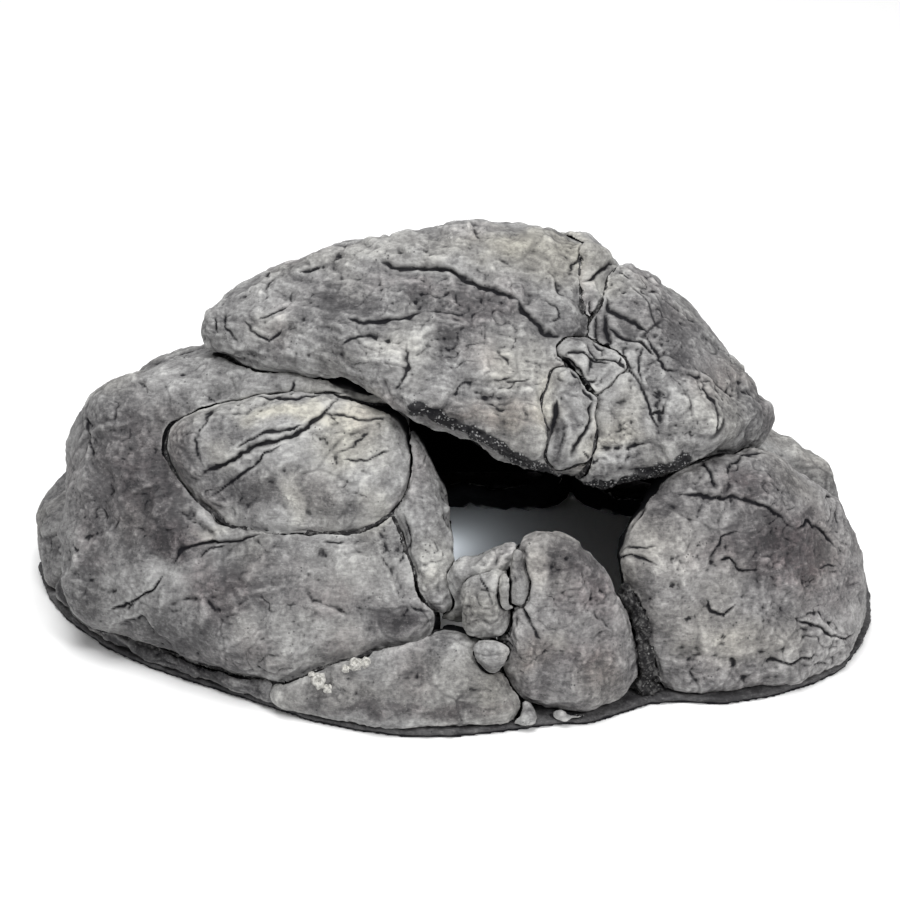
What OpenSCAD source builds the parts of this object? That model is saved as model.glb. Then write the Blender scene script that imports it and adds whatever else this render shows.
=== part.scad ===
// Resin cave ornament: a hollow pile of rockwork for fish to shelter in.
// Thin resin castings, one for each stone, are bonded edge to edge on a flat rim.
// It is open underneath and has one mouth, in the front.
// +X is to the right of the mouth, -Y is the front and z = 0 is the face it stands on.

/* [Overall size] */
// Length, left to right
cave_length = 412; // [330:1:494]
// Depth, front to back
cave_depth = 250; // [200:1:300]
// Height from the floor to the top of the roof
cave_height = 184; // [147:1:221]

/* [Castings] */
// Wall thickness of the stone castings
wall = 6; // [5:0.5:7.5]
// Thickness of the flat rim
rim_thickness = 3; // [2.5:0.5:5]
// Width of the rim's flat band
rim_width = 22; // [18:1:26]
// Width of the bonded joint between two stones
joint_gap = 1.6; // [1.2:0.1:2.2]
// How far the bonding resin stays back from the outer surface
joint_recess = 2; // [1.5:0.5:3]

/* [Hidden] */

NOMINAL = [412, 250, 184];
stretch = [cave_length / NOMINAL.x, cave_depth / NOMINAL.y, cave_height / NOMINAL.z];
size = min(stretch);
FACETS = 16;
INNER_FACETS = 10;
SMALLEST_BALL = 0.5;
JOINT_CLEARANCE = 0.4;
STANDING_BELOW = 10;
FAR = 1000;
rim_corner = 8;

// Each stone is the skin stretched over a few balls, as [x, y, z, radius].
ROOF_FRACTURE_SHARD_BALLS = [
    [54, -27, 142, 5], [66, -27, 140, 5], [74, -30, 138, 5], [66, -36, 132, 5], [64, -16, 136, 8]];
ROOF_WEDGE_STONE_BALLS = [
    [50, -38, 134, 5], [62, -42, 126, 5], [58, -56, 108, 5], [48, -60, 106, 5], [46, -46, 124, 5]];
ROOF_SLAB_BALLS = [
    [-45, -24, 142, 12], [-22, -36, 135, 12], [-10, -42, 128, 12], [36, -48, 110, 14],
    [52, -50, 104, 12], [-33, 22, 165, 14], [0, 22, 170, 14], [42, 20, 169, 14],
    [54, 20, 164, 13], [46, -20, 136, 14], [-60, 62, 134, 16], [34, 66, 145, 18]];
ROOF_TIP_BALLS = [
    [-103, 2, 141, 13], [-86, -10, 136, 10], [-64, -16, 140, 12], [-40, -24, 141, 12],
    [-80, 25, 145, 14], [-33, 22, 164, 14], [-78, 55, 135, 15]];
ROOF_CROWN_STONE_BALLS = [[62, 16, 167, 10], [72, 20, 157, 10], [58, 44, 158, 14], [58, -4, 152, 8]];
ROOF_RIGHT_BLOCK_BALLS = [
    [78, 12, 155, 13], [106, 8, 128, 15], [132, 0, 102, 15], [138, -6, 96, 14],
    [66, -50, 98, 12], [90, -46, 104, 13], [113, -40, 112, 13], [62, -26, 128, 12],
    [105, 55, 112, 20], [62, 62, 130, 20]];
LEFT_FACE_SLAB_BALLS = [
    [-118, -38, 102, 12], [-108, -44, 84, 12], [-94, -52, 75, 12], [-80, -56, 73, 12],
    [-45, -58, 79, 12], [-32, -54, 86, 12], [-28, -46, 96, 12],
    [-30, -36, 106, 12], [-66, -32, 112, 12], [-98, -34, 108, 12]];
LEFT_EDGE_SHARD_BALLS = [
    [-20, -38, 102, 8], [-14, -46, 92, 8], [-17, -58, 78, 9], [-11, -68, 64, 9], [-4, -80, 46, 7], [-8, -52, 80, 8]];
LEFT_BOULDER_BALLS = [
    [-160, -30, 47, 23], [-157, 8, 54, 28], [-158, 0, 78, 24], [-148, -5, 91, 28],
    [-118, 15, 94, 28], [-84, 26, 104, 26], [-104, -6, 112, 18], [-66, -18, 116, 14],
    [-36, -22, 108, 16], [-20, -79, 35, 17], [-76, -84, 27, 21], [-131, -58, 42, 20],
    [-160, -46, 30, 20], [-150, 20, 12, 26], [-60, 20, 20, 24]];
CENTRE_BOULDER_BALLS = [
    [40, -84, 70, 10], [48, -82, 68, 10], [63, -84, 57, 8], [75, -92, 23, 10],
    [73, -94, 14, 11], [38, -102, 20, 13], [31, -98, 36, 9], [46, -78, 40, 18], [60, -101, 14, 13],
    [30, -92, 14, 11]];
MOUTH_COBBLE_BALLS = [[11, -95, 57, 7], [20, -93, 59, 7], [12, -98, 43, 6], [18, -99, 44, 7]];
MOUTH_CAP_STONE_BALLS = [
    [6, -83, 60, 6], [20, -82, 64, 8], [27, -80, 66, 8], [4, -78, 40, 8], [24, -78, 44, 8]];
LONG_SLIVER_BALLS = [[29, -90, 74, 3], [30, -98, 56, 3], [32, -92, 60, 3]];
SHORT_SLIVER_BALLS = [[25, -97, 65, 3], [26, -100, 54, 3], [27, -92, 58, 3]];
WEDGE_CHIP_BALLS = [[15, -108, 36, 4], [21, -108, 36, 4], [20, -111, 30, 3], [18, -100, 28, 6]];
RIGHT_BOULDER_BALLS = [
    [90, -70, 64, 15], [114, -45, 76, 22], [138, -40, 73, 24], [170, -22, 50, 17],
    [178, -32, 32, 19], [178, -42, 16, 19], [150, -70, 11, 20], [108, -82, 11, 15],
    [172, -58, 11, 16], [96, -80, 30, 14], [150, 2, 16, 24], [126, -8, 66, 22]];
RIGHT_REAR_STONE_BALLS = [
    [158, 18, 52, 18], [134, 26, 64, 22], [150, 46, 46, 20], [173, 16, 50, 16],
    [178, 30, 14, 18], [183, 2, 12, 15], [160, 55, 14, 22]];
FRONT_SLAB_BALLS = [
    [-34, -98, 22, 9], [6, -98, 28, 9], [-10, -88, 27, 9], [21, -113, 9, 9],
    [-72, -103, 8, 7], [-25, -115, 9, 9], [-59, -98, 17, 8],
    [16, -90, 18, 12]];
LEFT_REAR_STONE_BALLS = [
    [-191, 20, 24, 15], [-190, 44, 22, 18], [-188, 6, 10, 14], [-160, 70, 18, 22], [-150, 50, 45, 22]];
LEFT_TOE_LEDGE_BALLS = [
    [-184, -14, 8, 8], [-174, -10, 12, 10], [-158, -46, 9, 9], [-114, -75, 9, 9],
    [-74, -99, 8, 7], [-120, -40, 12, 12]];
REAR_LEFT_BOULDER_BALLS = [
    [-120, 60, 64, 26], [-134, 74, 14, 26], [-78, 80, 78, 24], [-76, 99, 14, 24],
    [-104, 86, 40, 26], [-86, 50, 100, 24], [-60, 62, 106, 20]];
REAR_CENTRE_BOULDER_BALLS = [
    [-24, 78, 92, 26], [32, 74, 100, 24], [-34, 100, 16, 23], [40, 97, 12, 26], [8, 96, 50, 27],
    [0, 58, 114, 24]];
REAR_RIGHT_BOULDER_BALLS = [
    [78, 72, 84, 24], [122, 52, 66, 24], [86, 94, 14, 24], [136, 70, 14, 24],
    [108, 84, 44, 24], [100, 40, 90, 24]];
TOE_PEBBLE_BALLS = [[27, -115, 6, 4], [35, -116, 5, 4], [31, -110, 7, 5]];
TOE_PEBBLE_SMALL_BALLS = [[50, -113, 5, 4], [57, -111, 5, 4], [54, -108, 6, 5]];
RIGHT_SEAM_PUTTY_BALLS = [
    [84, -80, 50, 7], [88, -86, 34, 8], [92, -88, 16, 8], [88, -90, 8, 6], [100, -86, 8, 7],
    [86, -70, 40, 8], [92, -70, 12, 8]];
// The space a fish swims in, which the castings' inner walls stay out of.
CHAMBER_BALLS = [
    [-80, 30, 10, 40], [-70, 20, 80, 28], [-20, 20, 128, 28], [44, 16, 118, 28],
    [86, 20, 70, 26], [100, 20, 10, 38], [20, 70, 70, 30], [-30, 70, 70, 30],
    [-20, -40, 10, 30], [50, -40, 10, 30]];
RIM_OUTLINE = [
    [-206, 20], [-196, -8], [-184, -28], [-162, -52], [-140, -68], [-119, -80], [-98, -91],
    [-80, -101], [-62, -111], [-42, -118], [-20, -123], [2, -123], [24, -119], [46, -114],
    [62, -113], [74, -107], [90, -98], [104, -96], [124, -98], [146, -92], [168, -81],
    [182, -70], [194, -50], [202, -30], [206, -4], [204, 20], [196, 42], [178, 70],
    [150, 92], [110, 112], [60, 122], [0, 125], [-60, 122], [-110, 115], [-150, 98],
    [-183, 74], [-200, 48]];

// A stone keeps its whole shape, and the stones after it in this order are cut to meet it.
ROOF_FRACTURE_SHARD = 0;
ROOF_WEDGE_STONE = 1;
ROOF_SLAB = 2;
ROOF_CROWN_STONE = 3;
ROOF_RIGHT_BLOCK = 4;
LEFT_FACE_SLAB = 5;
LEFT_EDGE_SHARD = 6;
LEFT_BOULDER = 7;
LONG_SLIVER = 8;
SHORT_SLIVER = 9;
MOUTH_COBBLE = 10;
WEDGE_CHIP = 11;
CENTRE_BOULDER = 12;
MOUTH_CAP_STONE = 13;
FRONT_SLAB = 14;
RIGHT_BOULDER = 15;
RIGHT_REAR_STONE = 16;
LEFT_REAR_STONE = 17;
LEFT_TOE_LEDGE = 18;
REAR_CENTRE_BOULDER = 19;
REAR_LEFT_BOULDER = 20;
REAR_RIGHT_BOULDER = 21;
TOE_PEBBLE = 22;
TOE_PEBBLE_SMALL = 23;
RIGHT_SEAM_PUTTY = 24;
FORMS = [
    [ROOF_FRACTURE_SHARD_BALLS], [ROOF_WEDGE_STONE_BALLS], [ROOF_SLAB_BALLS, ROOF_TIP_BALLS],
    [ROOF_CROWN_STONE_BALLS], [ROOF_RIGHT_BLOCK_BALLS], [LEFT_FACE_SLAB_BALLS],
    [LEFT_EDGE_SHARD_BALLS], [LEFT_BOULDER_BALLS], [LONG_SLIVER_BALLS], [SHORT_SLIVER_BALLS],
    [MOUTH_COBBLE_BALLS], [WEDGE_CHIP_BALLS], [CENTRE_BOULDER_BALLS], [MOUTH_CAP_STONE_BALLS],
    [FRONT_SLAB_BALLS], [RIGHT_BOULDER_BALLS], [RIGHT_REAR_STONE_BALLS],
    [LEFT_REAR_STONE_BALLS], [LEFT_TOE_LEDGE_BALLS], [REAR_CENTRE_BOULDER_BALLS],
    [REAR_LEFT_BOULDER_BALLS], [REAR_RIGHT_BOULDER_BALLS], [TOE_PEBBLE_BALLS],
    [TOE_PEBBLE_SMALL_BALLS], [RIGHT_SEAM_PUTTY_BALLS]];
// The stones big enough to be cast hollow
HOLLOW = [ROOF_SLAB, ROOF_RIGHT_BLOCK, LEFT_BOULDER, LEFT_FACE_SLAB, CENTRE_BOULDER, RIGHT_BOULDER,
          RIGHT_REAR_STONE, LEFT_REAR_STONE, REAR_CENTRE_BOULDER, REAR_LEFT_BOULDER,
          REAR_RIGHT_BOULDER];

module ball(b, grow, sides) {
    translate([b[0] * stretch.x, b[1] * stretch.y, b[2] * stretch.z])
        sphere(r = max(b[3] * size + grow, SMALLEST_BALL), $fn = sides);
}

module skin(balls, grow = 0, sides = FACETS) {
    hull()
        for (b = balls) ball(b, grow, sides);
}

module form(k, grow = 0) {
    for (balls = FORMS[k]) skin(balls, grow);
}

// The inside of a stone. Where the stone stands on the rim its inside runs on downwards,
// so the casting is open underneath.
module hollow(k) {
    for (balls = FORMS[k])
        hull()
            for (b = balls) {
                ball(b, -wall, INNER_FACETS);
                if (b[2] - b[3] < STANDING_BELOW)
                    translate([0, 0, -wall])
                        ball(b, -wall, INNER_FACETS);
            }
}

// Everything that is never solid: the inside of each hollow stone, the chamber, and the
// space below the rim's top face.
module clear_space() {
    for (k = HOLLOW) hollow(k);
    skin(CHAMBER_BALLS, 0, INNER_FACETS);
    translate([-FAR, -FAR, -2 * FAR + rim_thickness])
        cube(2 * FAR);
}

module earlier_stones(k, extra = 0) {
    for (j = [0 : 1 : k - 1]) form(j, joint_gap + extra);
}

module casting(k) {
    difference() {
        form(k);
        earlier_stones(k);
        clear_space();
    }
}

// Bonding resin in the joint round stone k, where the stones in the list meet it.
module joint(k, neighbours) {
    difference() {
        intersection() {
            difference() {
                form(k, joint_gap);
                form(k);
            }
            for (j = neighbours) form(j, -joint_recess);
        }
        earlier_stones(k, JOINT_CLEARANCE);
        clear_space();
    }
}

module rim_profile() {
    offset(r = rim_corner, $fn = 24)
        offset(delta = -rim_corner)
            scale([stretch.x, stretch.y])
                polygon(RIM_OUTLINE);
}

module base_rim() {
    color("dimgray")
        linear_extrude(height = rim_thickness)
            difference() {
                rim_profile();
                offset(delta = -rim_width) rim_profile();
            }
}

module roof_slab() { color("gray") casting(ROOF_SLAB); }
module roof_right_block() { color("darkgray") casting(ROOF_RIGHT_BLOCK); }
module roof_crown_stone() { color("silver") casting(ROOF_CROWN_STONE); }
module roof_fracture_shard() { color("silver") casting(ROOF_FRACTURE_SHARD); }
module roof_wedge_stone() { color("slategray") casting(ROOF_WEDGE_STONE); }
module left_boulder() { color("slategray") casting(LEFT_BOULDER); }
module left_face_slab() { color("silver") casting(LEFT_FACE_SLAB); }
module left_edge_shard() { color("darkgray") casting(LEFT_EDGE_SHARD); }
module left_rear_stone() { color("gray") casting(LEFT_REAR_STONE); }
module left_toe_ledge() { color("dimgray") casting(LEFT_TOE_LEDGE); }
module front_slab() { color("darkgray") casting(FRONT_SLAB); }
module mouth_cobble() { color("silver") casting(MOUTH_COBBLE); }
module mouth_cap_stone() { color("gray") casting(MOUTH_CAP_STONE); }
module mouth_slivers() {
    color("silver") {
        casting(LONG_SLIVER);
        casting(SHORT_SLIVER);
    }
}
module wedge_chip() { color("silver") casting(WEDGE_CHIP); }
module centre_boulder() { color("slategray") casting(CENTRE_BOULDER); }
module toe_pebbles() {
    color("silver") {
        casting(TOE_PEBBLE);
        casting(TOE_PEBBLE_SMALL);
    }
}
module right_boulder() { color("rosybrown") casting(RIGHT_BOULDER); }
module right_rear_stone() { color("gray") casting(RIGHT_REAR_STONE); }
module rear_left_boulder() { color("gray") casting(REAR_LEFT_BOULDER); }
module rear_centre_boulder() { color("darkgray") casting(REAR_CENTRE_BOULDER); }
module rear_right_boulder() { color("slategray") casting(REAR_RIGHT_BOULDER); }
module right_seam_putty() { color("dimgray") casting(RIGHT_SEAM_PUTTY); }

module roof_joint_resin() {
    color("black") {
        joint(ROOF_FRACTURE_SHARD, [ROOF_SLAB, ROOF_RIGHT_BLOCK]);
        joint(ROOF_WEDGE_STONE, [ROOF_SLAB, ROOF_RIGHT_BLOCK]);
        joint(ROOF_SLAB, [ROOF_CROWN_STONE, ROOF_RIGHT_BLOCK]);
        joint(ROOF_CROWN_STONE, [ROOF_RIGHT_BLOCK]);
    }
}
module left_joint_resin() {
    color("black") {
        joint(ROOF_SLAB, [LEFT_BOULDER, LEFT_FACE_SLAB]);
        joint(LEFT_FACE_SLAB, [LEFT_BOULDER]);
        joint(LEFT_EDGE_SHARD, [LEFT_BOULDER]);
        joint(LEFT_BOULDER, [LEFT_REAR_STONE, LEFT_TOE_LEDGE, FRONT_SLAB]);
    }
}
module front_joint_resin() {
    color("black") {
        joint(ROOF_RIGHT_BLOCK, [RIGHT_BOULDER, RIGHT_REAR_STONE]);
        joint(CENTRE_BOULDER, [MOUTH_CAP_STONE, FRONT_SLAB, RIGHT_BOULDER]);
        joint(LONG_SLIVER, [CENTRE_BOULDER, MOUTH_CAP_STONE]);
        joint(SHORT_SLIVER, [CENTRE_BOULDER, MOUTH_CAP_STONE, MOUTH_COBBLE]);
        joint(MOUTH_COBBLE, [CENTRE_BOULDER, MOUTH_CAP_STONE, FRONT_SLAB, WEDGE_CHIP]);
        joint(WEDGE_CHIP, [FRONT_SLAB, CENTRE_BOULDER]);
        joint(RIGHT_BOULDER, [RIGHT_REAR_STONE]);
    }
}
module rear_joint_resin() {
    color("black") {
        joint(ROOF_SLAB, [REAR_CENTRE_BOULDER, REAR_LEFT_BOULDER]);
        joint(ROOF_RIGHT_BLOCK, [REAR_CENTRE_BOULDER, REAR_RIGHT_BOULDER]);
        joint(REAR_CENTRE_BOULDER, [REAR_LEFT_BOULDER, REAR_RIGHT_BOULDER]);
        joint(LEFT_BOULDER, [REAR_LEFT_BOULDER]);
        joint(RIGHT_BOULDER, [REAR_RIGHT_BOULDER]);
    }
}

base_rim();
roof_slab();
roof_right_block();
roof_crown_stone();
roof_fracture_shard();
roof_wedge_stone();
left_boulder();
left_face_slab();
left_edge_shard();
left_rear_stone();
left_toe_ledge();
front_slab();
mouth_cobble();
mouth_cap_stone();
mouth_slivers();
wedge_chip();
centre_boulder();
toe_pebbles();
right_boulder();
right_rear_stone();
rear_left_boulder();
rear_centre_boulder();
rear_right_boulder();
right_seam_putty();
roof_joint_resin();
left_joint_resin();
front_joint_resin();
rear_joint_resin();
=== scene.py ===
"""The resin cave ornament's looks: each casting gets a carved rock skin and a painted finish."""

import math

import bmesh
import bpy
import numpy as np
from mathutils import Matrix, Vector
from mathutils.bvhtree import BVHTree


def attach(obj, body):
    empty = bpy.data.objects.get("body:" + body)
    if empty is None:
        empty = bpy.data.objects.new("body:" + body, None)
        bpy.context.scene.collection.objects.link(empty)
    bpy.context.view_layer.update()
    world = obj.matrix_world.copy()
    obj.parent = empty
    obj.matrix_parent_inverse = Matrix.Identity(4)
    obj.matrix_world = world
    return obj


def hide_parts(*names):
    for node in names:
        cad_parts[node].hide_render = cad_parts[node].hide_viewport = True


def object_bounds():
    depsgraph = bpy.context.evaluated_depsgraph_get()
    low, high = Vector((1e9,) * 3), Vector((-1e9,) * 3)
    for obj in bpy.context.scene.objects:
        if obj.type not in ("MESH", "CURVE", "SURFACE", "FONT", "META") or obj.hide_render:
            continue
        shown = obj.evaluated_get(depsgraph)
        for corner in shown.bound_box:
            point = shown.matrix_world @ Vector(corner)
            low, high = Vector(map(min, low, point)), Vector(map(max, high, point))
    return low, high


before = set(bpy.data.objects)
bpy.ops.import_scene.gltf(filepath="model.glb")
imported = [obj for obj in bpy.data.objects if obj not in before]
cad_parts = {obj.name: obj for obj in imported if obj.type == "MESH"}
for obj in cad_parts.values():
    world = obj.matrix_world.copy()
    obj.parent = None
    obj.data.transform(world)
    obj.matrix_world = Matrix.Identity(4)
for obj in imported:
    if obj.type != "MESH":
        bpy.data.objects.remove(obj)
cad_low, cad_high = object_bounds()

# Everything below is worked out in millimetres from the middle of the footprint.
MODEL_LENGTH = 413.6
MM = (cad_high.x - cad_low.x) / MODEL_LENGTH
ORIGIN = np.array([(cad_low.x + cad_high.x) / 2, (cad_low.y + cad_high.y) / 2, cad_low.z])

# The edge lengths of the skins.
FINE = 0.9        # stones that the front view shows
COARSE = 1.3      # stones at the back
RIM_EDGE = 1.2
SMALL = 0.7              # pebbles and chips
SMALLEST = 0.6
SMOOTHING_EDGE = 0.9     # the edge length that rounds of smoothing are counted for


def rounds(count, edge, power=2):
    """Rounds of smoothing that reach as far here as count rounds do on SMOOTHING_EDGE."""
    return int(round(count * (SMOOTHING_EDGE / edge) ** power))


def to_frame(p):
    """A place in millimetres as a point in the frame."""
    return Vector(np.array(p) * MM + ORIGIN)


def placed(name, data):
    """A new object in the scene."""
    thing = bpy.data.objects.new(name, data)
    bpy.context.scene.collection.objects.link(thing)
    return thing


# ------------------------------------------------------ the two sketch planes

ELEVATION = math.radians(28)
DISTANCE = 1010.0
AIM = np.array([0.9, 0.0, 78.0])
AHEAD = np.array([0.0, math.cos(ELEVATION), -math.sin(ELEVATION)])
UPWARD = np.array([0.0, math.sin(ELEVATION), math.cos(ELEVATION)])
EYE = AIM - DISTANCE * AHEAD


def front_sketch(q, n):
    """Where points lie on the sheet that faces the viewer, in mm across and up, and how
    squarely they face it."""
    ray = q - EYE
    depth = ray @ AHEAD
    across = (ray[:, 0] / depth) * DISTANCE
    up = (ray @ UPWARD / depth) * DISTANCE
    facing = -(n * ray).sum(1) / np.linalg.norm(ray, axis=1)
    return across, up, facing


def side_sketch(q, n, azimuth):
    """The same for an upright sheet that faces the azimuth, where 180 is the back."""
    a = math.radians(azimuth)
    right = np.array([math.cos(a), math.sin(a), 0.0])
    toward = np.array([math.sin(a), -math.cos(a), 0.0])
    return q @ right, q[:, 2], n @ toward + 0.4 * n[:, 2]


# ------------------------------------------------------ noise

AXES12 = np.array([(1, 1, 0), (-1, 1, 0), (1, -1, 0), (-1, -1, 0), (1, 0, 1), (-1, 0, 1),
                   (1, 0, -1), (-1, 0, -1), (0, 1, 1), (0, -1, 1), (0, 1, -1), (0, -1, -1)], float)


def scramble(cell, seed):
    """A repeatable whole number for each lattice cell."""
    x, y, z = (cell[:, k].astype(np.uint64) for k in range(3))
    h = x * np.uint64(73856093) ^ y * np.uint64(19349663) ^ z * np.uint64(83492791)
    h = (h ^ np.uint64(seed * 2654435761 % 2**32)) * np.uint64(0x9E3779B97F4A7C15)
    h ^= h >> np.uint64(29)
    h = h * np.uint64(0xBF58476D1CE4E5B9)
    return h ^ (h >> np.uint64(32))


def noise(p, seed):
    """Gradient noise from about -1 to 1."""
    base = np.floor(p)
    f = p - base
    cell = base.astype(np.int64)
    w = f * f * f * (f * (f * 6 - 15) + 10)
    total = np.zeros(len(p))
    for corner in np.ndindex(2, 2, 2):
        c = np.array(corner)
        g = AXES12[(scramble(cell + c, seed) % np.uint64(12)).astype(np.int64)]
        weight = np.where(c, w, 1 - w).prod(1)
        total += weight * (g * (f - c)).sum(1)
    return total


def layered(p, seed, octaves):
    """Noise with finer and weaker noise on top."""
    total, strength = np.zeros(len(p)), 1.0
    for k in range(octaves):
        total += strength * noise(p * 2.03**k, seed + 17 * k)
        strength *= 0.5
    return total


def cells(p, seed):
    """Nearest and second nearest distance to scattered points, and the height of a plane
    tilted at random through the nearest."""
    base = np.floor(p).astype(np.int64)
    first = np.full(len(p), 9.0)
    second = np.full(len(p), 9.0)
    plane = np.zeros(len(p))
    for corner in np.ndindex(3, 3, 3):
        cell = base + np.array(corner) - 1
        h = scramble(cell, seed)
        jitter = np.stack([(h >> np.uint64(s)) % np.uint64(1024) for s in (0, 10, 20)], 1) / 1024.0
        tilt = np.stack([(h >> np.uint64(s)) % np.uint64(256) for s in (30, 38, 46)], 1) / 128.0 - 1
        d = p - (cell + jitter)
        distance = np.linalg.norm(d, axis=1)
        nearer = distance < first
        second = np.where(nearer, first, np.minimum(second, distance))
        plane = np.where(nearer, (d * tilt).sum(1), plane)
        first = np.where(nearer, distance, first)
    return first, second, plane


def ramp(x, low, high):
    """A smooth step from 0 at low to 1 at high."""
    t = np.clip((x - low) / (high - low), 0, 1)
    return t * t * (3 - 2 * t)


def scatter(q, size, seeds):
    """A direction for each point, from one noise for each seed."""
    return np.stack([noise(q / size, k) for k in seeds], 1)


# ------------------------------------------------------ drawn cracks, stains, and painted light and shade

# Each crack: half width, depth and how far its upper or left side stands proud, then its
# points, all in mm, on the front sketch.
FRONT_CRACKS = [
    # the pale slab on the left boulder
    (1.4, 2.2, 0.7, [(-118, -11), (-108, -7), (-98, -1), (-88, 3), (-77, 7), (-67, 11),
                     (-60, 17), (-56, 21), (-53, 25)]),
    (0.9, 1.2, 0.2, [(-100, 1), (-89, 7), (-78, 9.5), (-69, 12)]),
    (0.8, 1.0, 0.3, [(-115, -23), (-107, -17), (-97, -9.5), (-87, -1.5), (-80, 3)]),
    (0.9, 1.3, 0.4, [(-94, 25), (-83, 25.5), (-73, 25), (-62, 26.5), (-50, 28)]),
    (0.8, 1.0, 0.0, [(-76, 33), (-76, 26)]),
    (0.8, 0.9, 0.3, [(-60, 17), (-50, 17), (-43, 14), (-36, 14), (-29.5, 15)]),
    (0.7, 0.6, 0.1, [(-53, -1.5), (-46.5, 1.5), (-40, 8.5)]),
    (0.7, 0.7, 0.2, [(-50, -5), (-38, -5), (-31, -1), (-27, 0)]),
    (1.0, 0.5, 0.4, [(-109, 23), (-116, 17), (-120, 5), (-117, -9)]),
    # the left boulder
    (0.9, 1.3, 0.4, [(-164, -76), (-153, -74), (-142, -66), (-138, -59)]),
    (0.7, 0.8, 0.0, [(-156, -77), (-151, -74)]),
    (1.1, 1.4, 0.7, [(-133.5, -54), (-127, -46.5), (-115, -43), (-100, -43), (-93, -40),
                     (-89, -40)]),
    (0.7, 0.8, 0.2, [(-119, -52), (-115, -47), (-107, -45)]),
    (0.7, 0.6, 0.2, [(-62, -44), (-50, -43)]),
    (0.9, 0.6, 0.1, [(-176, 17), (-173, 5), (-171, -4)]),
    (0.7, 0.6, 0.1, [(-22, -31), (-20, -42), (-24, -55)]),
    # the roof slab
    (1.3, 2.0, 0.9, [(-33, 89), (-24, 88), (-9.5, 87.5), (-1.5, 86), (7, 82), (17, 78), (24, 74),
                     (32, 71)]),
    (1.2, 1.9, 0.7, [(32, 71), (36, 65.5), (38, 62), (43, 59), (45, 56.5), (52, 54)]),
    (1.2, 1.3, 0.5, [(-47.5, 63), (-40, 61), (-31, 62), (-24, 63), (-17, 65), (-13, 66)]),
    (1.0, 1.1, 0.3, [(-97, 62), (-95, 57), (-91, 55), (-86.5, 53), (-82, 56.5), (-79, 58)]),
    (0.7, 0.7, 0.2, [(-91, 63), (-85, 65.5), (-78, 67.5)]),
    (0.7, 0.6, 0.3, [(-52, 50), (-44, 54.5), (-36, 57)]),
    (1.0, 1.1, 0.2, [(-71, 84), (-66, 84.5), (-62, 86.5)]),
    (0.7, 0.7, 0.2, [(26, 33), (38, 34)]),
    (0.8, 0.8, 0.2, [(-107, 67), (-105.5, 57), (-100, 50)]),
    (0.8, 0.8, 0.2, [(-112, 64), (-110, 55)]),
    (0.8, 0.7, 0.1, [(43, 71), (50, 69), (52, 63), (47, 61)]),
    (0.8, 0.8, 0.2, [(-22, 50), (-20, 40), (-24, 28)]),
    # the crown stone and the right block
    (0.9, 1.0, 0.2, [(58, 86.5), (58, 89), (61, 92), (63, 91)]),
    (1.2, 1.6, 0.5, [(73, 73), (75, 66.5), (81, 63), (88, 60), (95, 57)]),
    (1.3, 1.8, 0.3, [(73.5, 66.5), (75, 59), (77, 52), (73.5, 47.5)]),
    (1.2, 1.6, 0.3, [(66.5, 71), (69, 62), (70, 52), (76, 47.5)]),
    (0.9, 1.1, 0.3, [(82, 50), (83, 40), (89, 31), (92, 24), (94, 17), (100, 18), (102, 24)]),
    (0.8, 0.9, 0.1, [(94, 17), (100, 10.5)]),
    (0.9, 1.1, 0.4, [(121, 33), (122.5, 27.5), (126, 23), (128, 18), (127, 12), (125.5, 7)]),
    (1.0, 1.1, 0.2, [(93, 55), (97, 47.5), (100, 42), (104.5, 38), (109, 39)]),
    (0.7, 0.7, 0.1, [(81, 85.5), (86, 81)]),
    (0.8, 0.8, 0.1, [(90, 50), (89, 43), (90, 33)]),
    (0.9, 0.8, 0.2, [(64, 0), (67.5, -5), (71, -4)]),
    (1.6, 1.6, 0.2, [(53, 24), (50, 14), (46, 5)]),
    (1.3, 1.8, 0.5, [(52, 45), (57, 40), (62, 35), (68, 28), (72, 23)]),
    (1.4, 2.0, 0.3, [(72, 24), (68, 16), (64, 8), (60, 0), (58, -4)]),
    (0.9, 1.3, 0.5, [(54, 44), (62, 46), (70, 44), (78, 42)]),
    (0.8, 1.2, 0.3, [(66, 50), (72, 45), (80, 44), (86, 38)]),
    (0.8, 1.2, 0.6, [(56, 36), (64, 32), (70, 34)]),
    (0.9, 1.4, 0.4, [(76, 60), (82, 54), (90, 52), (96, 46)]),
    (1.1, 1.6, 0.4, [(62.5, 79), (68, 82), (74, 86), (79.5, 89.5)]),
    # the sill stones and the centre boulder
    (0.9, 0.9, 0.4, [(33, -74), (37, -81), (43, -90)]),
    (0.7, 0.6, 0.0, [(12, -60), (18, -66), (20, -76)]),
    # the right boulder
    (1.0, 1.3, 0.5, [(108, -20), (121, -21), (134, -22), (142.5, -25), (151, -28), (158, -33),
                     (164, -37)]),
    (0.9, 1.1, 0.3, [(164, -37), (170, -34), (173, -36), (178, -39.5), (184, -45)]),
    (0.7, 0.7, 0.1, [(82, -46.5), (90, -45), (97, -44)]),
    (0.9, 0.9, 0.3, [(124.5, -52), (127, -45), (129, -40), (138, -37)]),
    (0.8, 1.1, 0.1, [(122.5, -71), (124.5, -76), (131, -78), (137, -74)]),
    (0.8, 1.2, 0.4, [(165, -80), (171, -83), (176, -84.5), (180.5, -87.5), (188, -89), (192, -87)]),
    (0.7, 0.7, 0.0, [(176, -55), (183, -54)]),
    (1.1, 1.2, 0.3, [(133, -13), (134.5, -6), (140, -1), (150, -2)]),
    (0.9, 1.4, 0.1, [(177, -23), (182, -24)]),
    (0.9, 1.2, 0.4, [(118, -2), (124, -10), (126, -18)]),
    (0.8, 1.1, 0.3, [(128, -52), (134, -50), (138, -56), (146, -58)]),
    (0.8, 1.0, 0.3, [(72, -52), (86, -50), (98, -54)]),
    (0.8, 1.0, 0.3, [(86, -70), (92, -78), (90, -88)]),
    (0.8, 1.1, 0.2, [(150, -98), (162, -102), (176, -98)]),
]

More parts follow.
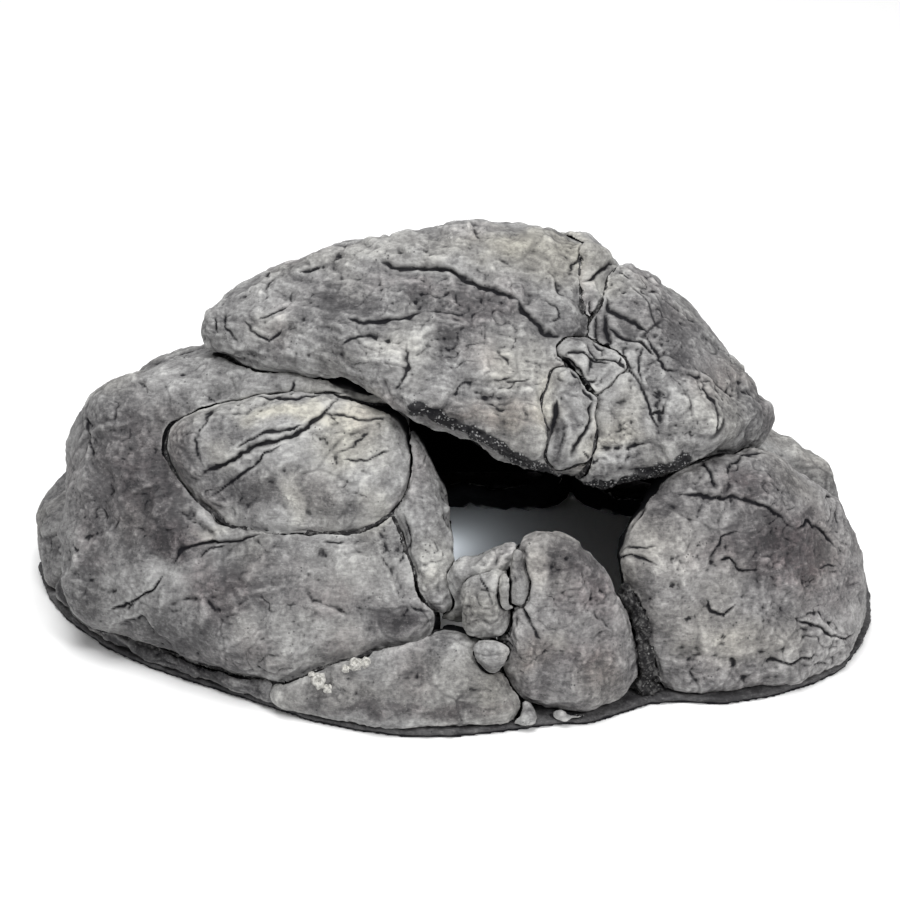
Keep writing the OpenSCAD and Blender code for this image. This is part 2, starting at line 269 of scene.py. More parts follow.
# The same on an upright sheet behind the ornament, in mm across and above the floor.
BACK_CRACKS = [
    (1.2, 1.6, 0.6, [(-150, 70), (-138, 84), (-120, 90), (-104, 103), (-90, 106)]),
    (1.0, 1.2, 0.4, [(-120, 90), (-112, 76), (-114, 60)]),
    (1.1, 1.5, 0.5, [(-60, 120), (-44, 112), (-30, 114), (-12, 100), (4, 96)]),
    (0.9, 1.1, 0.3, [(-30, 114), (-26, 132), (-14, 142)]),
    (1.2, 1.7, 0.6, [(30, 40), (42, 52), (60, 54), (74, 66), (92, 66)]),
    (0.9, 1.0, 0.3, [(60, 54), (64, 40), (60, 28)]),
    (1.0, 1.2, 0.4, [(60, 118), (78, 110), (94, 112), (108, 102)]),
    (0.9, 1.1, 0.3, [(-80, 30), (-64, 38), (-50, 34), (-36, 44)]),
    (0.9, 1.1, 0.3, [(120, 40), (132, 52), (148, 50), (158, 60)]),
]

# The paint's stains and patches of painted light and shade. Each: across, up and its two radii in
# mm, then how much lighter, creamier and browner it is, on the front sketch.
STAINS_AND_SHADING = [
    # the left boulder
    (-142, -10, 20, 30, -0.28, 0, 0.45), (-130, -43, 15, 9, -0.26, 0, 0.6),
    (-109, -68, 16, 12, -0.26, 0, 0.6), (-58, -70, 18, 9, -0.16, 0, 0.4),
    (-168, 14, 9, 14, -0.14, 0, 0), (-24, -80, 16, 10, -0.34, 0, 0.3),
    (-47, -58, 24, 14, 0.16, 0.1, 0),
    (-115, -38, 10, 4, 0.25, 0.3, 0), (-150, -62, 16, 12, 0.10, 0, 0),
    (-70, -84, 26, 12, 0.06, 0.1, 0),
    (-178, -40, 6, 30, 0.12, 0, 0), (-125, -85, 24, 7, -0.16, 0, 0), (-8, -52, 8, 14, 0.12, 0.2, 0),
    (-140, 32, 22, 7, 0.06, 0, 0), (-155, -95, 40, 7, -0.20, 0, 0),
    (-160, -20, 22, 34, -0.14, 0, 0.2),
    (-62, -20, 12, 8, -0.10, 0, 0.2), (-90, -60, 24, 10, -0.08, 0, 0.2),
    (-180, -68, 16, 18, -0.25, 0, 0),
    (-100, -100, 26, 8, -0.16, 0, 0.2),
    # the pale slab
    (-78, 19, 24, 6, 0.26, 0.8, 0), (-42, 18, 16, 9, 0.20, 0.6, 0), (-45, 2, 20, 12, 0.10, 0.4, 0),
    (-98, 10, 8, 7, -0.24, 0, 0), (-95, -20, 16, 8, -0.26, 0, 0.1), (-75, -24, 5, 12, 0.22, 0.3, 0),
    (-48, -28, 12, 6, -0.20, 0, 0), (-108, -2, 8, 8, 0.12, 0.3, 0), (-126, 10, 5, 16, -0.16, 0, 0),
    (-112, 10, 4, 12, -0.12, 0, 0), (-36, -28, 8, 10, 0.10, 0.3, 0),
    # the roof
    (-55, 74, 26, 12, -0.12, 0, 0.1), (-19, 72, 9, 7, -0.26, 0, 0), (0, 56, 9, 9, -0.24, 0, 0.1),
    (16, 70, 20, 10, -0.14, 0, 0.5), (-15, 80, 14, 5, -0.10, 0, 0.4),
    (33, 40, 20, 14, 0.14, 0.3, 0),
    (20, 16, 22, 7, -0.05, 0.5, 0.5), (-2, 19, 12, 6, -0.16, 0.1, 0.2),
    (-105, 52, 12, 8, 0.04, 0, 0),
    (-85, 58, 12, 7, 0.12, 0.2, 0), (-30, 48, 16, 8, 0.12, 0.2, 0), (-40, 98, 50, 8, 0.02, 0.2, 0),
    (50, 92, 30, 14, 0.08, 0.6, 0), (20, 98, 26, 8, 0, 0.3, 0), (-18, 38, 8, 10, 0.08, 0.1, 0),
    (-8, 34, 6, 10, -0.14, 0, 0), (45, 22, 8, 14, 0.12, 0.5, 0), (-75, 76, 14, 8, 0.06, 0, 0),
    # the right block and the two angular stones
    (100, 62, 24, 12, -0.20, 0, 0.2), (108, 44, 14, 8, -0.18, 0, 0.1), (85, 25, 7, 9, 0.32, 0.3, 0),
    (142, 22, 10, 22, -0.16, 0, 0), (80, 9, 12, 9, 0.12, 0.6, 0.1), (112, 15, 16, 9, 0.08, 0, 0),
    (49, 13, 4, 9, -0.40, 0, 0), (59, 55, 5, 7, -0.25, 0, 0), (72, 56, 6, 9, -0.25, 0, 0.1),
    (78, 78, 16, 6, 0.08, 0.2, 0), (66, 0, 10, 8, 0.16, 0.4, 0), (128, 36, 14, 10, 0, 0, 0.4),
    # the sill and the front slab
    (14, -76, 12, 12, 0, 0.2, 0), (18, -54, 14, 6, 0.04, 0.1, 0), (-6, -112, 30, 14, -0.22, 0.2, 0),
    (-50, -116, 22, 8, -0.14, 0.2, 0.1), (22, -118, 8, 10, -0.04, 0.2, 0),
    (-10, -124, 44, 4, -0.30, 0, 0.4),
    # the centre boulder
    (55, -90, 7, 6, 0.28, 0.3, 0), (38, -96, 12, 10, 0.02, 0.4, 0.5),
    (66, -68, 14, 12, -0.10, 0, 0.6), (52, -54, 16, 8, -0.22, 0, 0.2),
    (40, -55, 4, 12, 0.22, 0.2, 0), (48, -56, 3, 12, -0.12, 0, 0), (34, -56, 3, 12, -0.14, 0, 0),
    (72, -102, 12, 12, -0.02, 0.2, 0.5), (76, -78, 10, 14, 0.05, 0, 0.2),
    # the right boulder
    (105, -48, 22, 20, 0.16, 0.2, 0), (138, -48, 13, 10, -0.20, 0, 0.3),
    (163, -48, 18, 18, -0.26, 0, 1.0), (96, -28, 12, 10, -0.12, 0, 0.1),
    (140, -16, 14, 8, -0.14, 0, 0.5), (142, -92, 28, 10, 0.14, 0.3, 0),
    (118, -88, 14, 14, 0.12, 0.2, 0),
    (88, -58, 8, 12, -0.16, 0, 0), (180, -66, 14, 14, -0.10, 0, 0.3),
    (168, -12, 18, 10, -0.12, 0.1, 0), (176, -4, 8, 8, 0.06, 0, 0),
    (128, -66, 10, 6, 0.12, 0.1, 0), (92, -80, 6, 14, -0.16, 0, 0),
]

# Where a joint was filled flush and painted over: across, up, its two radii and how fully.
MENDS = [
    # round the pale slab and along the left side of the mouth
    (-82, 29, 52, 9, 1.0), (-116, 26, 26, 14, 1.0), (-36, 26, 18, 8, 0.95),
    (-23, 6, 13, 20, 0.95), (-122, 16, 8, 14, 0.8),
    # the crown and the broken corner of the roof
    (59, 90, 11, 12, 0.9), (74, 40, 20, 18, 0.95), (50, 28, 10, 22, 0.95),
    (66, 12, 10, 14, 0.5), (66, 20, 5, 5, 0.2), (70, 76, 5, 5, 0.5),
    # the sill, the front slab and the toe
    (14, -58, 17, 8, 1.0), (2, -50, 8, 5, 0.6), (14, -92, 8, 5, 0.4),
    (23, -104, 5, 8, 0.5), (26, -110, 5, 10, 0.3), (-85, -117, 12, 9, 0.95),
]

# The rough lower edge of the roof, on the front sketch.
LIP = [(-16, 20), (8, 9), (30, -2), (50, -14), (62, -19), (80, -18), (98, -10), (112, -3)]


def along(s, t, points):
    """Distance to a line of points, how far along it from 0 to 1, and the side: 1 is above or
    left of it."""
    best = np.full(len(s), 1e9)
    part = np.zeros(len(s))
    side = np.zeros(len(s))
    pts = np.array(points, float)
    lengths = np.linalg.norm(np.diff(pts, axis=0), axis=1)
    starts = np.concatenate([[0], np.cumsum(lengths)])
    for k, length in enumerate(lengths):
        a, d = pts[k], (pts[k + 1] - pts[k]) / length
        x, y = s - a[0], t - a[1]
        u = np.clip(x * d[0] + y * d[1], 0, length)
        distance = np.hypot(x - u * d[0], y - u * d[1])
        nearer = distance < best
        best = np.where(nearer, distance, best)
        part = np.where(nearer, (starts[k] + u) / starts[-1], part)
        side = np.where(nearer, np.sign(d[0] * y - d[1] * x), side)
    return best, part, side


CRACK_REACH = 14         # how far from its points a crack changes anything, in mm


def carve(s, t, weight, cracks, q):
    """How deep the cracks cut, how far their sides stand proud and how dark they are."""
    cut = np.zeros(len(s))
    lift = np.zeros(len(s))
    dark = np.zeros(len(s))
    s = s + 1.1 * noise(q / 9, 71) + 0.8 * noise(q / 3.5, 72)
    t = t + 1.1 * noise(q / 9, 73) + 0.8 * noise(q / 3.5, 74)
    for width, depth, proud, points in cracks:
        pts = np.array(points, float)
        low, high = pts.min(0) - CRACK_REACH, pts.max(0) + CRACK_REACH
        near = np.flatnonzero((s > low[0]) & (s < high[0]) & (t > low[1]) & (t < high[1])
                              & (weight > 0))
        if not len(near):
            continue
        d, u, side = along(s[near], t[near], points)
        ends = ramp(u, -0.05, 0.18) * ramp(1 - u, -0.05, 0.18)
        wide = width * (0.30 + 0.55 * ends) * (1 + 0.6 * noise(q[near] / 6, 75))
        strength = weight[near] * (0.25 + 0.75 * ends)
        cut[near] = np.maximum(cut[near], depth * strength * np.exp(-(d / wide) ** 2))
        inked = strength * np.exp(-(d / np.maximum(wide * 0.72, 0.6)) ** 2)
        inked = inked * (1 + 0.5 * noise(q[near] / 5, 76)) * min(1.1, 0.65 + 0.35 * depth)
        shaded = 0.34 * strength * np.exp(-(d / (2.2 * wide + 1)) ** 2)
        dark[near] = np.maximum(dark[near], np.maximum(inked, shaded))
        lift[near] += proud * strength * side * np.exp(-d / 7) * (1 - np.exp(-(d / 1.2) ** 2))
    return cut, lift, dark


# ------------------------------------------------------ skins

def cad_mesh(nodes):
    """The corner points and triangles of some CAD nodes together, in metres."""
    points, faces = [], []
    for name in nodes:
        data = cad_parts[name].data
        data.calc_loop_triangles()
        start = len(points)
        points += [v.co.copy() for v in data.vertices]
        faces += [tuple(start + i for i in tri.vertices) for tri in data.loop_triangles]
    return points, faces


EVERYTHING = BVHTree.FromPolygons(*cad_mesh(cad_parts))


def remeshed(name, edge):
    """A closed even skin of one CAD node, as a new mesh."""
    source = placed("source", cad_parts[name].data.copy())
    modifier = source.modifiers.new("skin", "REMESH")
    modifier.mode = "VOXEL"
    modifier.voxel_size = edge * MM
    graph = bpy.context.evaluated_depsgraph_get()
    mesh = bpy.data.meshes.new_from_object(source.evaluated_get(graph))
    bpy.data.objects.remove(source)
    mesh.materials.clear()
    return mesh


class Skin:
    """The working copy of a mesh in millimetres, with what is known of each point."""

    def __init__(self, mesh):
        self.mesh = mesh
        count = len(mesh.vertices)
        co = np.zeros(count * 3)
        mesh.vertices.foreach_get("co", co)
        self.q = (co.reshape(-1, 3) - ORIGIN) / MM
        ends = np.zeros(len(mesh.edges) * 2, np.int32)
        mesh.edges.foreach_get("vertices", ends)
        self.a, self.b = ends[0::2], ends[1::2]
        self.degree = np.maximum(np.bincount(ends, minlength=count), 1)
        corners = np.zeros(len(mesh.loops), np.int32)
        mesh.loops.foreach_get("vertex_index", corners)
        self.quads = corners.reshape(-1, 4)

    def spread(self, x):
        """Each point's value replaced by the mean of its neighbours'."""
        n = len(self.degree)
        if x.ndim == 1:
            total = np.bincount(self.a, x[self.b], n) + np.bincount(self.b, x[self.a], n)
            return total / self.degree
        return np.stack([self.spread(x[:, k]) for k in range(x.shape[1])], 1)

    def smoothed(self, x, times, weight=None):
        """The same spread again and again, half of the way each time or less by weight."""
        for _ in range(times):
            w = 0.5 if weight is None else 0.5 * (weight if x.ndim == 1 else weight[:, None])
            x = x + w * (self.spread(x) - x)
        return x

    def normals(self):
        """The way the surface faces at each point, from the quads round it."""
        p = self.q[self.quads]
        face = np.cross(p[:, 2] - p[:, 0], p[:, 3] - p[:, 1])
        n = len(self.q)
        out = np.stack([sum(np.bincount(self.quads[:, c], face[:, k], n) for c in range(4))
                        for k in range(3)], 1)
        return out / np.maximum(np.linalg.norm(out, axis=1), 1e-12)[:, None]

    def store(self):
        """Puts the points back into the mesh."""
        self.mesh.vertices.foreach_set("co", (self.q * MM + ORIGIN).ravel())
        self.mesh.update()

    def keep(self, name, values):
        """Gives the mesh an attribute that the materials read."""
        attribute = self.mesh.attributes.new(name, "FLOAT", "POINT")
        attribute.data.foreach_set("value", np.clip(values, -4, 4).astype(np.float32))


def outside(skin, n):
    """1 where a point can be seen from outside or through the mouth, 0 on inner walls and
    joint faces."""
    out = np.zeros(len(skin.q))
    world = (skin.q + 0.8 * n) * MM + ORIGIN
    way = n.copy()
    way[:, 2] = np.maximum(way[:, 2], 0.12)
    for i in range(len(out)):
        if EVERYTHING.ray_cast(Vector(world[i]), Vector(way[i]), 0.6)[0] is None:
            out[i] = 1.0
    return out


def gap_to(skin, others, reach, where):
    """Distance in mm from each point to the nearest of the other castings, up to reach, and
    the way there."""
    tree = BVHTree.FromPolygons(*cad_mesh(others))
    out = np.full(len(skin.q), float(reach))
    way = np.zeros((len(skin.q), 3))
    world = skin.q * MM + ORIGIN
    for i in np.flatnonzero(where):
        hit = tree.find_nearest(Vector(world[i]), reach * MM)
        if hit[3] is not None:
            out[i] = hit[3] / MM
            way[i] = (np.array(hit[0]) - world[i]) / MM
    return out, way


def warped(q):
    """The same gentle bend for every piece, so that joints wander but neighbours still meet."""
    bend = 2.3 * scatter(q, 15, (61, 62, 63)) + 0.6 * scatter(q, 6, (64, 65, 66))
    return q + bend * ramp(q[:, 2], 1.0, 9.0)[:, None] * np.array([1.0, 1.0, 0.8])


def mended(q, n, filled):
    """How fully a joint near each point was filled flush, from 0 to 1, and at least filled."""
    s, t, facing = front_sketch(q, n)
    spots = np.zeros(len(s))
    for x, y, rx, ry, amount in MENDS:
        spot = np.exp(-(((s - x) / rx) ** 2 + ((t - y) / ry) ** 2) ** 2)
        spots = np.maximum(spots, amount * spot)
    return np.maximum(spots * ramp(facing, -0.6, -0.1), filled)


RESIN = ["roof_joint_resin", "left_joint_resin", "front_joint_resin", "rear_joint_resin"]

# How stones meet, in mm.
NEIGHBOUR_REACH = 12     # a stone this far away or more is no neighbour
CLOSED_GAP = 1.8         # joints up to this wide are closed up
OPEN_GAP = 3.2           # joints from this wide on are left as they are
ROUND_REACH = 5.5        # how far from a joint a stone's edge starts to round off
ROUND_DEPTH = 1.2
CLOSE_SHARE = 0.40       # how much of a joint each stone closes
MEND_SHARE = 0.15        # and how much more where the joint was filled

# The depths of the relief, in mm.
SWELL_DEPTHS = (1.8, 1.1)
FACET_DEPTHS = (3.2, 1.4)
BED_DEPTH = 0.55
ROUGH_DEPTHS = (0.48, 0.5)
GRAIN_DEPTH = 0.20
PIT_DEPTH = 0.5
HAIR_DEPTH = 0.7
LIP_DEPTH = 1.3
NET_SIZE = 25            # the net that the hairline cracks follow
HAIR_WIDTH = 1.5
WRINKLES = ((13.0, 0.50, 50), (7.0, 0.26, 53), (4.2, 0.12, 56))      # size, depth and seed

HEART = np.array([15.0, 15.0, 45.0])     # the middle of the hollow, in mm
UNSEEN_SHARE = 0.05      # how many of the triangles on unseen walls are kept


def thinned(mesh, kept, share):
    """Fewer triangles on the walls that nobody sees: kept is 1 where the mesh stays as it is."""
    piece = placed("thin", mesh)
    group = piece.vertex_groups.new(name="hidden")
    hidden = np.flatnonzero(kept < 0.5)
    group.add(hidden.tolist(), 1.0, "REPLACE")
    modifier = piece.modifiers.new("thin", "DECIMATE")
    modifier.vertex_group = "hidden"
    modifier.vertex_group_factor = 1.0
    modifier.ratio = 1 - (1 - share) * len(hidden) / len(kept)
    graph = bpy.context.evaluated_depsgraph_get()
    result = bpy.data.meshes.new_from_object(piece.evaluated_get(graph))
    bpy.data.objects.remove(piece)
    return result


def close_up(skin, name, edge, seen, filled):
    """Brings a stone's edges to its neighbours, evens out the CAD's facets, and returns how far
    the nearest neighbour is from each point."""
    n = skin.normals()
    others = [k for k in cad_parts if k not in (name, "base_rim", *RESIN)]
    gap, way = gap_to(skin, others, NEIGHBOUR_REACH, seen > 0)
    share = CLOSE_SHARE + MEND_SHARE * mended(skin.q, n, filled)
    near = (1 - ramp(gap, CLOSED_GAP, OPEN_GAP)) * share
    skin.q = skin.q + skin.smoothed(way * near[:, None], 2)
    gap = skin.smoothed(gap, 2)
    # The edges at a joint and at the foot stay where they are.
    loose = 0.12 + 0.88 * ramp(gap, 2.0, 8.0)
    loose *= ramp(skin.q[:, 2], 0.6, 6.0) * seen
    skin.q = skin.smoothed(skin.q, rounds(40, edge), loose)
    return gap


def bedded(q, dip, seed):
    """Thin layers that dip across the stone, from about -1 to 1."""
    a = math.radians(dip)
    layer = q @ np.array([-math.sin(a), 0.25, math.cos(a)]) + 2.5 * noise(q / 26, seed + 8)
    lengthwise = q @ np.array([math.cos(a), 0.1, math.sin(a)])
    strata = noise(np.stack([lengthwise / 34, q[:, 1] / 34, layer / 4.2], 1), seed + 9)
    strata += 0.6 * noise(np.stack([lengthwise / 16, q[:, 1] / 16, layer / 1.9], 1), seed + 10)
    return strata


def swollen(q, undulate, facets, seed):
    """The stone's broad form: long swells, and planes tilted at random that meet at edges."""
    swell = undulate * (SWELL_DEPTHS[0] * noise(q / 44, seed)
                        + SWELL_DEPTHS[1] * noise(q / 21, seed + 1))
    bent = q + 5 * scatter(q, 18, (seed + 2, seed + 3, seed + 4))
    first, second, plane = cells(bent / 27, seed + 5)
    swell += facets * FACET_DEPTHS[0] * plane * ramp(second - first, 0, 0.2)
    first, second, plane = cells(bent / 11, seed + 6)
    swell += (facets * FACET_DEPTHS[1] * plane * ramp(second - first, 0, 0.3)
              * ramp(noise(q / 30, seed + 7), -0.2, 0.4))
    return swell


def roughened(q, strata, bedding, mid, seed):
    """The stone's small relief: layers, broken patches, grain, wrinkles and pits."""
    relief = bedding * BED_DEPTH * strata
    relief += mid * ROUGH_DEPTHS[0] * layered(q / 8.5, seed + 11, 3)
    broken = ramp(noise(q / 24, seed + 12), -0.05, 0.45)
    relief += mid * ROUGH_DEPTHS[1] * broken * layered(q / 3.6, seed + 13, 2)
    relief += GRAIN_DEPTH * layered(q / 2.1, seed + 14, 2)
    # Wrinkles, as in clay: thin grooves that wander and break off.
    for size, depth, offset in WRINKLES:
        drift = q / size * np.array([1.0, 1.0, 1.35])
        line = np.abs(layered(drift, seed + offset, 2))
        groove = mid * depth * (1 - ramp(line, 0.0, 0.16))
        relief -= groove * ramp(noise(q / (2.6 * size), seed + offset + 1), -0.1, 0.35)
    nearest = cells(q / 5.0, seed + 15)[0]
    pits = (1 - ramp(nearest, 0.10, 0.32)) * ramp(noise(q / 17, seed + 16), 0.1, 0.5)
    return relief - PIT_DEPTH * pits


def hairline_net(q, seed):
    """1 on parts of a net of fine cracks, 0 away from it."""
    wander = 3.5 * scatter(q, 12, (seed + 17, seed + 18, seed + 19))
    first, second, _ = cells((q + wander) / NET_SIZE, seed + 20)
    line = np.exp(-((second - first) * NET_SIZE / HAIR_WIDTH) ** 2)
    return line * ramp(noise(q / 28, seed + 21), 0.02, 0.35)


def stained_and_shaded(q, s, t, frontal, light, cream, brown):
    """Adds the stains and the painted light and shade on the front sketch to the three paint
    values.
    """
    wobble = 5 * np.stack([layered(q / 14, 41, 2), layered(q / 14, 42, 2)], 1)
    for x, y, rx, ry, lighter, creamier, browner in STAINS_AND_SHADING:
        reach = ((s + wobble[:, 0] - x) / rx) ** 2 + ((t + wobble[:, 1] - y) / ry) ** 2
        inside = np.exp(-reach ** 1.5) * frontal
        light += lighter * inside
        cream += creamier * inside
        brown += browner * inside


def stone(name, edge, slot, tone=0.0, undulate=1.0, facets=1.0, bedding=0.0, dip=20.0,
          mid=1.0, hairlines=0.5, filled=0.0, seed=1):
    """Replaces a CAD casting with its carved and painted likeness."""
    skin = Skin(remeshed(name, edge))
    seen = outside(skin, skin.smoothed(skin.normals(), 2))
    for _ in range(3):
        seen = np.maximum(seen, skin.spread(seen) > 0.01).astype(float)
    gap = close_up(skin, name, edge, seen, filled)
    n = skin.smoothed(skin.normals(), rounds(10, edge, power=1))
    n /= np.maximum(np.linalg.norm(n, axis=1), 1e-9)[:, None]
    q = skin.q

    s, t, facing = front_sketch(q, n)
    frontal = ramp(facing, 0.05, 0.3)
    mend = mended(q, n, filled)
    cut, lift, dark = carve(s, t, frontal, FRONT_CRACKS, q)
    back_s, back_t, back_facing = side_sketch(q, n, 180)
    backward = ramp(back_facing, 0.3, 0.6) * (1 - frontal)
    back_cut, back_lift, back_dark = carve(back_s, back_t, backward, BACK_CRACKS, q)
    cut, lift, dark = cut + back_cut, lift + back_lift, np.maximum(dark, back_dark)

    # Relief fades towards a joint, so that neighbours still meet, and edges round off there.
    swell = swollen(q, undulate, facets, seed)
    strata = bedded(q, dip, seed)
    relief = roughened(q, strata, bedding, mid, seed)
    hair = hairline_net(q, seed) * hairlines
    calm = ramp(gap, 0.5, 5.0) * 0.85 + 0.15
    height = (swell + lift) * calm + relief * (0.35 + 0.65 * calm) - cut - HAIR_DEPTH * hair
    height -= (ROUND_DEPTH * (1 - ramp(gap, 0.0, ROUND_REACH)) ** 1.5 * (1 - 0.9 * mend)
               * (1 + 0.5 * noise(q / 11, 33)))
    height *= ramp(q[:, 2], 0.3, 3.0)

    lip = np.zeros(len(q))
    if name.startswith("roof"):
        from_lip = along(s, t, LIP)[0] + 1.2 * noise(q / 4, 92)
        lip = np.exp(-(from_lip / 3.6) ** 2) * seen
        height += lip * LIP_DEPTH * layered(q / 3.0, 91, 3)

    skin.q = warped(q + n * (height * seen)[:, None])
    skin.q[:, 2] = np.maximum(skin.q[:, 2], 0.0)

    # Paint: a dark wash lies in hollows and joints, with painted shade in the hollows, round the
    # joints and at the foot, and a pale brush has caught what stands proud.
    proud = ((skin.q - skin.smoothed(skin.q, rounds(9, edge))) * n).sum(1)
    wide = ((skin.q - skin.smoothed(skin.q, rounds(60, edge))) * n).sum(1)
    wash_and_shade = np.clip(-proud / 0.30, 0, 1.2) * 0.46 + np.clip(-wide / 1.1, 0, 1) * 0.30
    wash_and_shade = np.maximum(np.maximum(wash_and_shade, dark), 0.8 * hair)
    joint = np.exp(-(np.maximum(gap - 0.4, 0) / (0.9 + 0.6 * noise(q / 8, 34))) ** 2)
    joint = joint * (0.80 + 0.5 * noise(q / 9, 31))
    # Darker paint and painted shade within a few mm of a joint.
    joint_wash_and_shade = np.exp(-(gap / 5.0) ** 2) * ramp(noise(q / 16, 35), -0.2, 0.5) * 0.30
    wash_and_shade = np.maximum(wash_and_shade, np.maximum(joint, joint_wash_and_shade) * (1 - 0.95 * mend))
    # Painted shade along the foot, where the stone meets the floor.
    foot_shade = 1 - ramp(skin.q[:, 2] + 0.8 * noise(q / 7, 32), 0.6, 2.6)
    wash_and_shade = np.maximum(wash_and_shade, foot_shade * 0.9)
    brushed = np.clip(proud / 0.26, 0, 1.3) * 0.6 + np.clip(wide / 1.0, 0, 1) * 0.35

    light = (tone + 0.16 * noise(q / 38, seed + 22) + 0.13 * noise(q / 15, seed + 23)
             + 0.10 * bedding * strata)
    cream = 0.25 * ramp(noise(q / 34, seed + 24), 0.0, 0.6)
    brown = 0.35 * ramp(noise(q / 30, seed + 25), 0.15, 0.7)
    stained_and_shaded(q, s, t, frontal, light, cream, brown)

    # Painted shade inside the hollow: near black on walls unseen from outside and on faces turned
    # to its middle.
    heart = HEART - skin.q
    inward = (n * heart).sum(1) / np.linalg.norm(heart, axis=1)
    inner = np.maximum(1 - skin.smoothed(seen, 3), ramp(inward, 0.25, 0.5))
    skin.store()
    for attribute, values in (("light", light), ("wash_and_shade", wash_and_shade), ("brushed", brushed),
                              ("cream", cream), ("brown", brown), ("lip", lip), ("inner", inner)):
        skin.keep(attribute, values)
    finished(name, thinned(skin.mesh, seen, UNSEEN_SHARE), slot)


def finished(name, mesh, slot):
    """Puts the skin in the scene in place of its CAD node."""
    mesh.shade_smooth()
    piece = placed(name + "_casting", mesh)
    mesh.materials.append(PAINT[slot])
    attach(piece, "root")
    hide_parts(name)


# ------------------------------------------------------ materials

class Nodes:
    """Short ways to wire a material."""

    def __init__(self, name):
        self.material = bpy.data.materials.new(name)
        self.material.use_nodes = True
        self.tree = self.material.node_tree
        self.shader = self.tree.nodes["Principled BSDF"]
        self.coords = self.tree.nodes.new("ShaderNodeTexCoord").outputs["Object"]

    def link(self, a, b):
        self.tree.links.new(a, b)

    def value(self, socket, v):
        """Links a socket to a socket, or sets it to a plain value."""
        if isinstance(v, bpy.types.NodeSocket):
            self.link(v, socket)
        else:
            socket.default_value = v

    def attribute(self, name):
        node = self.tree.nodes.new("ShaderNodeAttribute")
        node.attribute_name = name
        return node.outputs["Fac"]

    def noise(self, size_mm, detail=3.0, rough=0.55, stretch=None, distort=0.0):
        node = self.tree.nodes.new("ShaderNodeTexNoise")
        node.inputs["Scale"].default_value = 1 / (size_mm * MM)
        node.inputs["Detail"].default_value = detail
        node.inputs["Roughness"].default_value = rough
        node.inputs["Distortion"].default_value = distort
        place = self.coords
        if stretch:
            mapping = self.tree.nodes.new("ShaderNodeMapping")
            mapping.inputs["Scale"].default_value = stretch
            self.link(place, mapping.inputs["Vector"])
            place = mapping.outputs["Vector"]
        self.link(place, node.inputs["Vector"])
        return node.outputs["Fac"]

    def cells(self, size_mm):
        node = self.tree.nodes.new("ShaderNodeTexVoronoi")
        node.inputs["Scale"].default_value = 1 / (size_mm * MM)
        self.link(self.coords, node.inputs["Vector"])
        return node.outputs["Distance"]

    def math(self, operation, a, b=0.0, c=0.0, clamp=False):
        node = self.tree.nodes.new("ShaderNodeMath")
        node.operation = operation
        node.use_clamp = clamp
        for socket, v in zip(node.inputs, (a, b, c)):
            self.value(socket, v)
        return node.outputs[0]

    def span(self, x, low, high, to_low=0.0, to_high=1.0):
        """A smooth step from to_low, where x is low, to to_high, where it is high."""
        node = self.tree.nodes.new("ShaderNodeMapRange")
        node.interpolation_type = "SMOOTHSTEP"
        for socket, v in zip(node.inputs, (x, low, high, to_low, to_high)):
            self.value(socket, v)
        return node.outputs[0]

    def varied(self, base, noise, amount):
        """The base value, shifted by as much as the noise is away from its middle."""
        return self.math("MULTIPLY_ADD", self.math("SUBTRACT", noise, 0.5), amount, base)

    def mix(self, amount, a, b, kind="MIX"):
        node = self.tree.nodes.new("ShaderNodeMix")
        node.data_type = "RGBA"
        node.blend_type = kind
        self.value(node.inputs["Factor"], amount)
        for label, v in (("A", a), ("B", b)):
            socket = [i for i in node.inputs if i.name == label and i.type == "RGBA"][0]
            self.value(socket, v)
        return [o for o in node.outputs if o.type == "RGBA"][0]

    def ramp(self, x, stops):
        node = self.tree.nodes.new("ShaderNodeValToRGB")
        elements = node.color_ramp.elements
        while len(elements) < len(stops):
            elements.new(0.5)
        for element, (at, shade) in zip(elements, stops):
            element.position = at
            element.color = (*shade, 1)
        self.link(x, node.inputs["Fac"])
        return node.outputs["Color"]

    def bump(self, height, depth_mm, strength=1.0, below=None):
        node = self.tree.nodes.new("ShaderNodeBump")
        node.inputs["Strength"].default_value = strength
        node.inputs["Distance"].default_value = depth_mm * MM
        self.link(height, node.inputs["Height"])
        if below is not None:
            self.link(below, node.inputs["Normal"])
        return node.outputs["Normal"]


PAINT_GREYS = [(0.0, (0.030, 0.029, 0.031)), (0.28, (0.095, 0.093, 0.095)),
               (0.52, (0.205, 0.203, 0.202)), (0.75, (0.33, 0.329, 0.325)),
               (1.0, (0.52, 0.518, 0.505))]
MIDDLE_GREY = 0.45       # where on that scale a plain stone lies
CREAM_TINT = (1.07, 1.02, 0.86, 1)
BROWN_TINT = (0.98, 0.86, 0.87, 1)
# The black of the wash and of the painted shade in hollows, round joints and at the foot.
WASH_AND_SHADE_BLACK = (0.010, 0.010, 0.012, 1)
SPECK_BLACK = (0.015, 0.015, 0.017, 1)
DUST_GREY = (0.62, 0.61, 0.59, 1)
LIP_BLACK = (0.016, 0.016, 0.018, 1)
BEAD_GREY = (0.55, 0.55, 0.55, 1)
# The near black of the painted shade on the inner walls.
INNER_SHADE_BLACK = (0.008, 0.008, 0.009, 1)
SHINE, DULL_SHINE = 0.32, 0.02
ROCK_ROUGHNESS = 0.72


